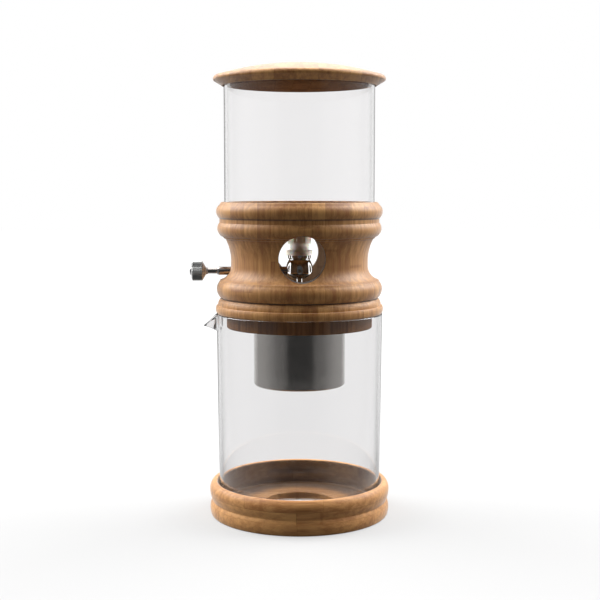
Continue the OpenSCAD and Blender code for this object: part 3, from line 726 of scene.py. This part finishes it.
shelfShape = {"hole": 8.35, "edge": 0.4}


def makeShelf(s):
    low = level("tank_shelf", 0)
    top = level("tank_shelf", 1)
    r = reach("tank_shelf")
    hole, edge = s["hole"], s["edge"]
    bm = spinOutline([(hole, low, edge), (r, low), (r, top, edge), (hole, top, edge)],
                     facets["wood"])
    # the shelf takes the plugs' darker bamboo: painted shade
    piece("wooden_shelf", bm, "neck", bamboo["plug"], ["tank_shelf"])


def cutter(name, radius, length, centre, turn):
    bm = bmesh.new()
    bmesh.ops.create_cone(bm, cap_ends=True, segments=facets["cutter"], radius1=radius * mm,
                          radius2=radius * mm, depth=length * mm)
    bmesh.ops.rotate(bm, verts=bm.verts, cent=(0, 0, 0),
                     matrix=Matrix.Rotation(pi / 2, 3, turn))
    bmesh.ops.translate(bm, verts=bm.verts, vec=Vector(centre) * mm)
    mesh = bpy.data.meshes.new(name)
    bm.to_mesh(mesh)
    bm.free()
    tool = bpy.data.objects.new(name, mesh)
    bpy.context.scene.collection.objects.link(tool)
    return tool


def carve(bm, tools):
    # cuts the tools out of the shape and hands it back as a bmesh
    mesh = bpy.data.meshes.new("blank")
    bm.to_mesh(mesh)
    bm.free()
    blank = bpy.data.objects.new("blank", mesh)
    bpy.context.scene.collection.objects.link(blank)
    for tool in tools:
        cut = blank.modifiers.new("cut", "BOOLEAN")
        cut.operation = "DIFFERENCE"
        cut.solver = "EXACT"
        cut.object = tool
    carved = bmesh.new()
    carved.from_object(blank, bpy.context.evaluated_depsgraph_get())
    for used in [blank] + tools:
        old = used.data
        bpy.data.objects.remove(used)
        bpy.data.meshes.remove(old)
    return carved


def breakEdges(bm, chosen, width):
    edges = [e for e in bm.edges if chosen(e) and len(e.link_faces) == 2
             and e.calc_face_angle(0) > shading["bevelFrom"]]
    bmesh.ops.bevel(bm, geom=edges, offset=width * mm, offset_type="OFFSET", affect="EDGES",
                    segments=shading["bevelSteps"], profile=0.5, clamp_overlap=True, material=-1)


def makeNeck(n):
    windowZ, windowR = n["window"]
    sleeveZ, sleeveR = n["sleeveHole"]
    bm = spinOutline(neckOutline(n), facets["neck"])
    window = cutter("windowCut", windowR, n["windowLong"], (0, 0, windowZ), "X")
    sleeve = cutter("sleeveCut", sleeveR, n["sleeveLong"], (n["sleeveFrom"], 0, sleeveZ), "Y")
    bm = carve(bm, [window, sleeve])

    def onWindow(edge):
        return all(abs(hypot(v.co.x, v.co.z - windowZ * mm) - windowR * mm) < n["windowNear"] * mm
                   for v in edge.verts)

    breakEdges(bm, onWindow, n["windowBevel"])
    piece("turned_neck", bm, "neck", bamboo["neck"], ["neck"])


makeNeck(neckShape)
makeShelf(shelfShape)
makeCrown(crownShape)

print("lid")
lidShape = {
    "inner": 62.2, "groove": 1.8, "skirt": 5.4, "edgeUp": 12.8, "skirtIn": 6, "bevelIn": 1.1,
    "bevelUp": 1.6, "domeIn": 3.2, "domeUp": 2.9, "domeSteps": 40,
    "arris": 0.3, "grooveWide": 1, "skirtUp": 0.9, "skirtRound": 0.8, "plugRound": 0.5,
}


def makeLid(s):
    top = level("lid", 1)
    r = reach("lid")
    inner = s["inner"]
    edge = top - s["edgeUp"]
    skirtZ = edge - s["skirt"]
    ceiling = skirtZ + s["groove"]
    domeR = r - s["domeIn"]
    domeZ = edge + s["domeUp"]
    tall = top - domeZ
    radius = (domeR ** 2 + tall ** 2) / (2 * tall)
    outline = [(0, ceiling), (inner, ceiling), (inner, ceiling - s["groove"], s["arris"]),
               (inner + s["grooveWide"], skirtZ, s["arris"]),
               (r - s["skirtIn"], skirtZ + s["skirtUp"], s["skirtRound"])]
    outline += bead((r - s["bevelIn"], edge - s["bevelUp"]), (r, edge), (domeR, domeZ))
    for i in range(1, s["domeSteps"] + 1):
        x = domeR * (1 - i / s["domeSteps"])
        outline.append((x, top - radius + (radius ** 2 - x ** 2) ** 0.5))
    bm = spinOutline(outline, facets["wood"], closed=False)
    piece("domed_lid", bm, "lid", bamboo["lid"], ["lid"])


def makeLidPlug(s):
    low = level("lid_plug", 0)
    top = level("lid_plug", 1)
    r = reach("lid_plug")
    bm = spinOutline([(0, low), (r, low, s["plugRound"]), (r, top), (0, top)], facets["wood"],
                     closed=False)
    piece("lid_inner_plug", bm, "lid", bamboo["plug"], ["lid_plug"])


makeLid(lidShape)
makeLidPlug(lidShape)

print("glass")
heelSteps = 10
carafeShape = {
    "wall": 2.3, "floor": 3, "heel": 6, "lowRadius": 66.9, "punt": 1.6, "puntRound": 3, "foot": 4,
    "lip": ((0, 0.6), (0.25, 0.15), (0.8, 0)),   # how far in and down its rounding runs
    "lowRows": (0.25, 0.5, 0.75), "spoutRows": 16,
    "spoutReach": 11.3, "spoutDrop": 10.3, "spoutRoot": 14.6, "spoutHalfWidth": 13,
    "spoutShape": 1.6, "spoutPinch": 0.15,
}


def glassHeel(r, z, radius):
    points = []
    for i in range(heelSteps + 1):
        a = -pi / 2 + pi / 2 * i / heelSteps
        points.append((r - radius + radius * cos(a), z + radius + radius * sin(a)))
    return points


def makeCarafe(c):
    low = level("carafe", 0)
    rim = level("carafe", 1)
    widening = reach("carafe") - c["lowRadius"]
    puntR = c["lowRadius"] - c["heel"] - c["foot"]
    root = rim - c["spoutRoot"]
    step = c["spoutRows"]

    def wall(z, inset):
        return (c["lowRadius"] + widening * (z - low - c["heel"]) / (rim - low - c["heel"]) - inset,
                z)

    def lipPoint(inset, down):
        return (wall(rim, inset)[0], rim - down)

    lower = [low + f * (root - low) for f in c["lowRows"]]
    upwards = [root + i * (rim - root) / step for i in range(step)]
    downwards = [rim - i * (rim - root) / step for i in range(1, step + 1)]
    outline = [(0, low + c["punt"]), (puntR, low, c["puntRound"])]
    outline += glassHeel(c["lowRadius"], low, c["heel"])
    outline += [wall(z, 0) for z in lower + upwards]
    outline += [lipPoint(inset, down) for inset, down in c["lip"]]
    outline += [lipPoint(c["wall"] - inset, down) for inset, down in c["lip"][::-1]]
    outline += [wall(z, c["wall"]) for z in downwards + lower[::-1]]
    outline += glassHeel(c["lowRadius"] - c["wall"], low + c["floor"], c["heel"] - c["wall"])[::-1]
    outline += [(puntR, low + c["floor"], c["puntRound"]), (0, low + c["floor"] + c["punt"])]
    bm = spinOutline(outline, facets["carafe"], closed=False)

    # the spout: the wall is drawn out towards -X and its lip dips to the tip
    for v in bm.verts:
        x, y, z = (q / mm for q in v.co)
        if x < 0 and z > root and abs(y) < c["spoutHalfWidth"]:
            share = (z - root) / (rim - root)
            pull = cos(pi / 2 * abs(y) / c["spoutHalfWidth"]) ** c["spoutShape"]
            v.co.x -= c["spoutReach"] * pull * share * mm
            v.co.z -= c["spoutDrop"] * pull * share * mm
            v.co.y *= 1 - c["spoutPinch"] * pull * share
    piece("spouted_carafe", bm, "carafe", glass, ["carafe"], shading["glassSharp"])


tankShape = {
    "wall": 2.2, "floor": 3, "heel": 4, "innerHeel": 3, "drainHole": 8.35,
    "arris": 0.3, "rimRound": 0.6,
}


def makeTank(t):
    low = level("tank", 0)
    rim = level("tank", 1)
    r = reach("tank")
    inner = r - t["wall"]
    outline = [(t["drainHole"], low, t["arris"])] + glassHeel(r, low, t["heel"])
    outline += [(r, rim, t["rimRound"]), (inner, rim, t["rimRound"])]
    outline += glassHeel(inner, low + t["floor"], t["innerHeel"])[::-1]
    outline += [(t["drainHole"], low + t["floor"], t["arris"])]
    bm = spinOutline(outline, facets["tank"])
    piece("glass_tank", bm, "neck", glass, ["tank"], shading["glassSharp"])


makeCarafe(carafeShape)
makeTank(tankShape)

print("filter cup")
cupShape = {
    "wall": 0.8, "edge": 2.2, "bottom": 33, "radius": 37.9,
    "fine": 0.2, "neckRound": 0.3, "flangeRound": 0.25, "mouthRound": 0.5,
}


def makeCup(c):
    low = level("filter_cup", 0)
    top = level("filter_cup", 1)
    flange = reach("filter_cup")
    r, wall = c["radius"], c["wall"]
    outline = [(c["bottom"], low, c["fine"])] + glassHeel(r, low, c["edge"])
    outline += [(r, top - wall, c["neckRound"]), (flange, top - wall, c["flangeRound"]),
                (flange, top, c["flangeRound"]), (r - wall, top, c["mouthRound"])]
    outline += glassHeel(r - wall, low + wall, c["edge"] - wall)[::-1]
    outline += [(c["bottom"], low + wall, c["fine"])]
    bm = spinOutline(outline, facets["cup"])
    piece("steel_cup", bm, "filter_cup", metal["steel"], ["filter_cup"])


makeCup(cupShape)

print("valve and knob")
valveShape = {
    "throat": 8.5, "spigot": 4.4, "foot": 5, "footRound": 0.4, "skirtIn": 2, "skirtUp": 2.6,
    "skirtRound": 0.8, "beadIn": 0.8, "beadUp": 3.4, "wideUp": 7,
    "throatOut": 0.1, "throatDown": 3.9,
    "collar": ((0, 3.3, 0.2), (0.9, 2.5, 0.3), (1.1, 0, 0.2)),   # out, down and rounding
    "spigotRound": 0.3, "sleeveBore": 3.5, "sleeveStart": 8.5, "sleeveLong": 20,
    "port": 1.6, "portRing": 2.4, "portInset": 0.7, "portRecess": 1.6,
    "portRound": 0.25, "dimple": 0.75, "dimpleRound": 0.1, "dimpleDeep": 0.8,
}


def makeValveBody(v):
    low = level("valve_body", 0)
    top = level("outlet_bushing", 0)
    spigotTop = level("valve_body", 1)
    bell = reach("valve_body")
    throat, spigot = v["throat"], v["spigot"]
    outline = [(0, low), (v["foot"], low, v["footRound"]),
               (bell - v["skirtIn"], low + v["skirtUp"], v["skirtRound"])]
    outline += bead((bell - v["beadIn"], low + v["beadUp"]), (bell, low + v["wideUp"]),
                    (throat + v["throatOut"], top - v["throatDown"]))
    outline += [(throat + out, top - down, turn) for out, down, turn in v["collar"]]
    outline += [(spigot, top), (spigot, spigotTop, v["spigotRound"]), (0, spigotTop)]
    bm = spinOutline(outline, facets["bell"], closed=False)
    stemZ = stemHeight()
    ring = cutter("ringCut", v["portRing"], 2 * v["portRecess"], (0, -bell, stemZ), "X")
    middle = -v["sleeveStart"] - v["sleeveLong"] / 2
    sleeve = cutter("boreCut", v["sleeveBore"], v["sleeveLong"], (middle, 0, stemZ), "Y")
    bm = carve(bm, [ring, sleeve])
    piece("chrome_bell", bm, "neck", metal["chrome"], ["valve_body"])


def makePort(v):
    bell = reach("valve_body")
    back = -bell / 2
    front = v["portInset"] - bell
    outline = [(0, back), (v["port"], back), (v["port"], front, v["portRound"]),
               (v["dimple"], front, v["dimpleRound"]), (0, front + v["dimpleDeep"])]
    bm = spinOutline(outline, facets["port"], closed=False)
    bmesh.ops.rotate(bm, verts=bm.verts, cent=(0, 0, 0), matrix=Matrix.Rotation(-pi / 2, 3, "X"))
    bmesh.ops.translate(bm, verts=bm.verts, vec=(0, 0, stemHeight() * mm))
    piece("port_screw", bm, "neck", metal["knobMetal"], ["port_plug"])


knobShape = {
    "stemGap": 0.15, "stemRound": 0.1, "collar": 2.3, "fine": 0.2,
    "flareGap": 0.05, "hub": 3.0, "hubLong": 1.6, "hubTaper": 0.3, "flareIn": 0.1,
    "flareEdge": 0.25, "flareRound": 0.15,
    "gripRound": 0.35, "gripRim": 1, "flutes": 40, "fluteDeep": 0.38, "linesPerFlute": 4,
    "sharp": 30,
    "endCap": 3.25, "capChamfer": 0.75, "capIn": 1.6, "capOut": 0.1, "capRound": 0.25,
}


def turnedOnStem(outline, steps=facets["stem"]):
    # outline holds (radius, distance from the tower's axis towards -X)
    return spinOutline(outline, steps, axis="-X", centre=(0, 0, stemHeight()))


def makeStem(k):
    sleeve = outwards("stem_sleeve", 0) + k["stemGap"]
    inner = outwards("stem", 1)
    outer = outwards("stem", 0)
    thin = (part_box("stem")[1].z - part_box("stem")[0].z) / 2 / mm
    shoulder = outwards("knob_shoulder", 1)
    outline = [(0, inner), (thin, inner, k["stemRound"]), (thin, sleeve),
               (k["collar"], sleeve, k["fine"]), (k["collar"], shoulder),
               (thin, shoulder), (thin, outer), (0, outer)]
    piece("stem_and_collar", turnedOnStem(outline), "knob", metal["stemChrome"], ["stem"])


def makeFlareAndCap(k):
    shoulder = outwards("knob_shoulder", 1) + k["flareGap"]
    starts = outwards("knob", 1)
    ends = outwards("knob", 0)
    tip = outwards("knob_cap", 0)
    lip = reach("knob_cap")
    hub, cap = k["hub"], k["endCap"]
    hubEnds = outwards("knob_shoulder", 1) + k["hubLong"]
    outline = [(0, shoulder), (hub - k["hubTaper"], shoulder, k["fine"]), (hub, hubEnds, k["fine"]),
               (lip - k["flareIn"], starts - k["flareEdge"], k["flareRound"]),
               (lip - k["flareGap"], starts), (0, starts)]
    piece("knob_flare", turnedOnStem(outline), "knob", metal["flareMetal"],
          ["knob_shoulder"])
    chamfer = ends + k["capChamfer"]
    outline = [(0, ends), (lip, ends), (lip - k["capIn"], chamfer, k["flareRound"]),
               (cap + k["capOut"], chamfer, k["stemRound"]), (cap, tip, k["capRound"]), (0, tip)]
    piece("knob_end", turnedOnStem(outline), "knob", metal["chrome"], ["knob_cap"])


def makeGrip(k):
    grip = reach("knob")
    starts = outwards("knob", 1)
    ends = outwards("knob", 0)
    outline = [(0, starts), (grip, starts, k["gripRound"]), (grip, ends, k["gripRound"]), (0, ends)]
    bm = turnedOnStem(outline, k["linesPerFlute"] * k["flutes"])
    stemZ = (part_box("stem")[0].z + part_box("stem")[1].z) / 2
    for v in bm.verts:   # the grip's lines sink and rise again, which leaves straight flutes
        r = hypot(v.co.y, v.co.z - stemZ)
        turn = atan2(v.co.z - stemZ, v.co.y) / (2 * pi) * k["flutes"]
        if r > (grip - k["gripRim"]) * mm:
            wave = 0.5 + 0.5 * cos(2 * pi * turn)
            sink = 1 - k["fluteDeep"] * mm / r * wave
            v.co.y *= sink
            v.co.z = stemZ + (v.co.z - stemZ) * sink
    piece("fluted_grip", bm, "knob", metal["knobMetal"], ["knob"], k["sharp"])


makeValveBody(valveShape)
makePort(valveShape)
makeStem(knobShape)
makeFlareAndCap(knobShape)
makeGrip(knobShape)

print("other pieces")
carriedOver = {
    "steel": ["cup_mesh", "spreader"],
    "chrome": ["drip_nozzle", "needle"],
    "stemChrome": ["stem_sleeve"],
    "milkyPlastic": ["inlet_nut", "outlet_bushing", "bulkhead_nut"],
    "sealPlastic": ["valve_seat", "stem_packing"],
    "whiteSilicone": ["cup_gasket", "tank_seat_ring", "inlet_washer", "lid_gasket"],
}
for key, names in carriedOver.items():
    for name in names:
        for materialSlot in nodes[name].material_slots:
            materialSlot.material = metal.get(key) or soft[key]

print("studio")
studio = {
    # brightness all round the tower at eye level, by angle from the camera's side
    "front": 0.06, "frontEdge": (radians(24), radians(44)),
    "side": 0.25, "sideEnd": radians(112), "sideFar": 0.6,
    "sweep": 1.0, "sweepEdge": (radians(124), radians(150)),
    "outlineEdge": (radians(150), radians(166)), "outlineDim": 0.75,
    "top": 0.45, "topEdge": (0.5, 0.8),
    # two big soft lamps, high up on both sides and a little behind
    "lampAt": (1.1, 0.4, 1.15), "lampSize": 1.3, "lampPower": 43,
    "topAt": (0, 0.3, 1.6), "topSize": 1.2, "topPower": 13,
    # two small ones light the dripper's chamber from its sides
    "fillAt": (0.043, 0.004, 0.205), "fillSize": (0.02, 0.03), "fillPower": 0.011,
    "fillSpread": radians(130),
    # and two faint cards beside them shine in the chrome; all four stay put when the neck lifts
    "cardAt": (0.043, 0.005, 0.205), "cardSize": (0.033, 0.05), "cardPower": 0.0095,
    "lampsTarget": (0, 0, 0.2),
    "floorColour": (0.2, 0.2, 0.2), "floorBounce": (0.12, 0.12, 0.12), "floorSize": 6,
    "floorGlow": (0.5, 0.95), "floorFade": (0.3, 1.9), "floorThrough": 0.93,
}


def aroundTower(tree, parts, s):
    # brightness by the angle from the camera's side: dark front, grey sides, white behind
    forwards = calc(tree, "MULTIPLY", parts.outputs[1], -1.0)
    turn = calc(tree, "ARCTAN2", calc(tree, "ABSOLUTE", parts.outputs[0]), forwards)
    lit = remap(tree, turn, *s["frontEdge"], s["front"], s["side"])
    farSide = remap(tree, turn, s["frontEdge"][1], s["sideEnd"], 0.0, s["sideFar"] - s["side"])
    lit = calc(tree, "ADD", lit, farSide)
    lit = calc(tree, "ADD", lit, remap(tree, turn, *s["sweepEdge"], 0.0, s["sweep"] - s["sideFar"]))
    # outlines of glass and chrome go dark where they mirror what is straight behind
    path = add(tree, "ShaderNodeLightPath")
    none = 0.5   # a depth below it is 0
    outside = calc(tree, "LESS_THAN", path.outputs["Transmission Depth"], none)
    outline = calc(tree, "MULTIPLY", path.outputs["Is Glossy Ray"], outside)
    behind = remap(tree, turn, *s["outlineEdge"], 0.0, s["outlineDim"])
    dim = calc(tree, "MULTIPLY", outline, behind)
    lit = calc(tree, "MULTIPLY", lit, calc(tree, "SUBTRACT", 1.0, dim))
    # and it is white all round to an eye that looks straight through the glass
    straight = calc(tree, "LESS_THAN", path.outputs["Glossy Depth"], none)
    straight = calc(tree, "MULTIPLY", path.outputs["Is Transmission Ray"], straight)
    return calc(tree, "MAXIMUM", lit, straight)


def makeWorld(s):
    world = bpy.data.worlds.new("studio")
    bpy.context.scene.world = world
    world.use_nodes = True
    tree = world.node_tree
    tree.nodes.clear()
    place = add(tree, "ShaderNodeTexCoord")
    parts = add(tree, "ShaderNodeSeparateXYZ")
    feed(tree, place.outputs["Generated"], parts.inputs[0])
    lit = aroundTower(tree, parts, s)
    over = remap(tree, parts.outputs[2], *s["topEdge"], 0.0, s["top"])
    lit = calc(tree, "MAXIMUM", lit, over)
    path = add(tree, "ShaderNodeLightPath")
    lit = calc(tree, "MAXIMUM", lit, path.outputs["Is Camera Ray"])
    shine = add(tree, "ShaderNodeBackground")
    shine.inputs["Color"].default_value = (1, 1, 1, 1)
    feed(tree, lit, shine.inputs["Strength"])
    out = add(tree, "ShaderNodeOutputWorld")
    feed(tree, shine.outputs[0], out.inputs["Surface"])


def makeLamp(name, place, target, size, power, shape="SQUARE", spread=pi, mirrored=True):
    lamp = bpy.data.objects.new(name, bpy.data.lights.new(name, "AREA"))
    lamp.data.shape = shape
    lamp.data.size, lamp.data.size_y = size
    lamp.data.energy = power
    lamp.data.spread = spread
    lamp.location = place
    lamp.rotation_euler = (Vector(target) - Vector(place)).to_track_quat("-Z", "Y").to_euler()
    lamp.visible_camera = lamp.visible_transmission = False
    lamp.visible_glossy = mirrored
    bpy.context.scene.collection.objects.link(lamp)


def makeLamps(s):
    for name, side in (("leftLamp", -1), ("rightLamp", 1)):
        x, y, z = s["lampAt"]
        makeLamp(name, (side * x, y, z), s["lampsTarget"], (s["lampSize"],) * 2, s["lampPower"])
        x, y, z = s["fillAt"]
        makeLamp(name + "Inside", (side * x, y, z), (0, y, z), s["fillSize"], s["fillPower"],
                 "ELLIPSE", s["fillSpread"], mirrored=False)
        x, y, z = s["cardAt"]
        makeLamp(name + "Card", (side * x, y, z), (0, y, z), s["cardSize"], s["cardPower"],
                 "ELLIPSE")
    makeLamp("topLamp", s["topAt"], s["lampsTarget"], (s["topSize"],) * 2, s["topPower"])


def makeFloor(s):
    bm = bmesh.new()
    bmesh.ops.create_grid(bm, x_segments=1, y_segments=1, size=s["floorSize"])
    mesh = bpy.data.meshes.new("studio_floor")
    bm.to_mesh(mesh)
    bm.free()
    floor = bpy.data.objects.new("studio_floor", mesh)
    bpy.context.scene.collection.objects.link(floor)
    material, tree = newMaterial("paleFloor")
    # the lamps fade with distance, and a glow that only the eye sees makes up for it
    place = add(tree, "ShaderNodeTexCoord")
    away = add(tree, "ShaderNodeVectorMath", operation="LENGTH")
    feed(tree, place.outputs["Object"], away.inputs[0])
    brightness = remap(tree, away.outputs["Value"], *s["floorFade"], *s["floorGlow"])
    # metal and glass see it nearly as bright as the studio round it
    parts = add(tree, "ShaderNodeSeparateXYZ")
    feed(tree, place.outputs["Object"], parts.inputs[0])
    path = add(tree, "ShaderNodeLightPath")
    mirrored = calc(tree, "MAXIMUM", path.outputs["Is Glossy Ray"],
                    path.outputs["Is Transmission Ray"])
    around = calc(tree, "MULTIPLY", aroundTower(tree, parts, s), s["floorThrough"])
    around = calc(tree, "MULTIPLY", mirrored, around)
    matt = add(tree, "ShaderNodeBsdfDiffuse")
    paint = blendColours(tree, mirrored, s["floorColour"], (0, 0, 0))
    paint = blendColours(tree, path.outputs["Is Diffuse Ray"], paint, s["floorBounce"])
    feed(tree, paint, matt.inputs["Color"])
    glow = add(tree, "ShaderNodeEmission")
    seen = calc(tree, "MULTIPLY_ADD", path.outputs["Is Camera Ray"], brightness, around)
    feed(tree, seen, glow.inputs["Strength"])
    both = add(tree, "ShaderNodeAddShader")
    feed(tree, matt.outputs[0], both.inputs[0])
    feed(tree, glow.outputs[0], both.inputs[1])
    finishMaterial(tree, both.outputs[0])
    mesh.materials.append(material)


makeWorld(studio)
makeLamps(studio)
makeFloor(studio)
bpy.context.scene.view_settings.view_transform = "Standard"
